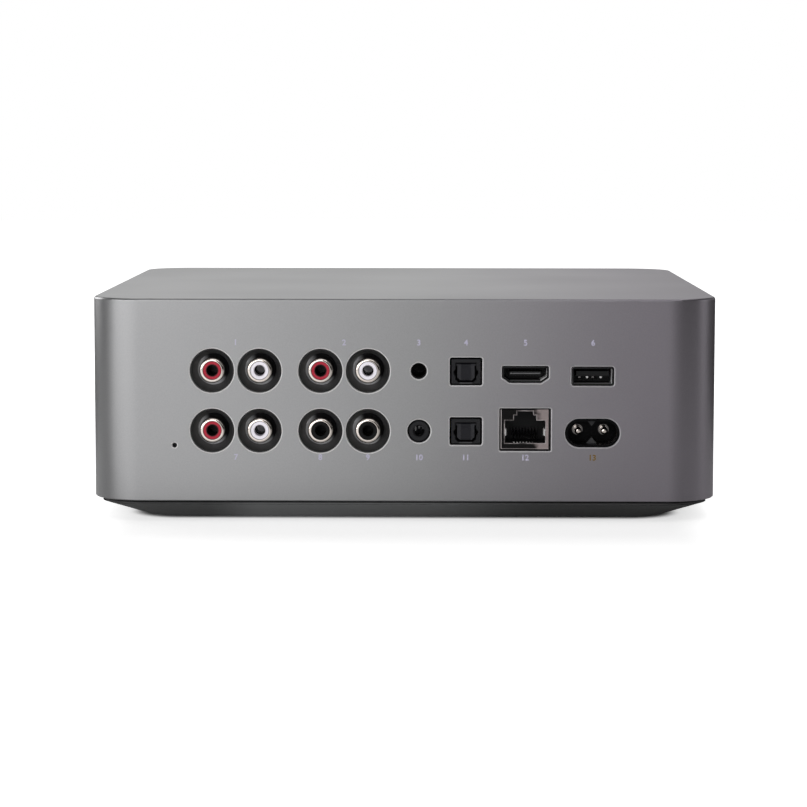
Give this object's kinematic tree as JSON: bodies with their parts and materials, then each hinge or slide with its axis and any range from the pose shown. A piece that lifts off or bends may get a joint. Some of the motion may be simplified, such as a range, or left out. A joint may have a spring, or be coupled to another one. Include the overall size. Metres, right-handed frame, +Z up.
{
  "type": "network music streamer",
  "caption": "Flat square network music streamer with an aluminium casing, bevelled dark base, rear audio and data sockets, front display and volume knob.",
  "frame": {"origin": "on the floor under the middle of the casing, in the lower face of the foot pad", "axes": "+Z up, +Y out of the rear wall with the sockets, -Y out of the front with the display and knob"},
  "size_m": [0.205, 0.2189, 0.0734],
  "materials": {
    "anodised_casing": "bead blasted and anodised, satin",
    "base_moulding": "fine textured moulding",
    "pad_rubber": "matt",
    "screw_steel": "zinc plated",
    "circuit_board": "solder mask",
    "contact_brass": "plated",
    "socket_moulding": "moulded",
    "collar_plating": "nickel plated",
    "shutter_moulding": "moulded",
    "shell_steel": "tin plated sheet",
    "red_insulator": "moulded, glossy",
    "white_insulator": "moulded, glossy",
    "black_insulator": "moulded, glossy",
    "display_glass": "polished, black backed",
    "display_panel": "plain",
    "ribbon_film": "plain",
    "bare_aluminium": "extruded",
    "antenna_board": "solder mask",
    "transformer_steel": "varnished",
    "capacitor_sleeve": "shrunk sleeve"
  },
  "bodies": {
    "chassis": {"antenna": "antenna_board", "base_screws": "screw_steel", "base_tray": "base_moulding", "digital_board": "circuit_board", "digital_pillars": "contact_brass", "display_bracket": "shell_steel", "display_glass": "display_glass", "display_panel": "display_panel", "encoder_body": "shell_steel", "encoder_nut": "screw_steel", "foot_pad": "pad_rubber", "front_board": "circuit_board", "front_wall": "anodised_casing", "ground_contact": "contact_brass", "ground_socket": "socket_moulding", "hdmi_shell": "shell_steel", "hdmi_tongue": "socket_moulding", "headphone_jack": "socket_moulding", "heat_sink": "bare_aluminium", "housing": "anodised_casing", "inner_screws": "screw_steel", "lan_contacts": "contact_brass", "lan_insert": "socket_moulding", "lan_shell": "shell_steel", "main_board": "circuit_board", "optical_in_body": "socket_moulding", "optical_out_body": "socket_moulding", "power_board": "circuit_board", "power_inlet": "socket_moulding", "power_pins": "collar_plating", "processor_shield": "shell_steel", "rca_barrels_left": "collar_plating", "rca_barrels_right": "collar_plating", "rca_block_left": "socket_moulding", "rca_block_right": "socket_moulding", "rca_contacts": "contact_brass", "rca_inserts_black": "black_insulator", "rca_inserts_red": "red_insulator", "rca_inserts_white": "white_insulator", "rear_wall_audio": "anodised_casing", "rear_wall_data": "anodised_casing", "reset_switch": "socket_moulding", "ribbon_cable": "ribbon_film", "supply_capacitors": "capacitor_sleeve", "transformer": "transformer_steel", "trigger_contacts": "contact_brass", "trigger_jack": "socket_moulding", "usb_shell": "shell_steel", "usb_tongue": "socket_moulding", "wireless_module": "shell_steel"},
    "knob_carrier": {"encoder_rotor": "shutter_moulding"},
    "knob": {"volume_knob": "anodised_casing", "encoder_shaft": "screw_steel"},
    "reset_button": {"reset_plunger": "shutter_moulding"},
    "optical_in_door": {"optical_in_shutter": "shutter_moulding"},
    "optical_out_door": {"optical_out_shutter": "shutter_moulding"}
  },
  "joints": [
    {"name": "volume_turn", "type": "hinge", "parent": "chassis", "child": "knob_carrier", "pos_m": [0.07, -0.1025, 0.0403], "axis": [0, 1, 0], "continuous": true},
    {"name": "volume_press", "type": "slide", "parent": "knob_carrier", "child": "knob", "axis": [0, 1, 0], "range_m": [0, 0.0005], "stiffness_N_per_m": 2500, "springref_m": -0.0005},
    {"name": "reset_press", "type": "slide", "parent": "chassis", "child": "reset_button", "axis": [0, -1, 0], "range_m": [0, 0.0003], "stiffness_N_per_m": 1500, "springref_m": -0.0003},
    {"name": "optical_in_swing", "type": "hinge", "parent": "chassis", "child": "optical_in_door", "pos_m": [-0.0202, 0.10055, 0.05185], "axis": [-1, 0, 0], "range_deg": [0, 85], "stiffness_Nm_per_rad": 0.0003, "springref_deg": -11.46},
    {"name": "optical_out_swing", "type": "hinge", "parent": "chassis", "child": "optical_out_door", "pos_m": [-0.0202, 0.10055, 0.03235], "axis": [-1, 0, 0], "range_deg": [0, 85], "stiffness_Nm_per_rad": 0.0003, "springref_deg": -11.46}
  ]
}
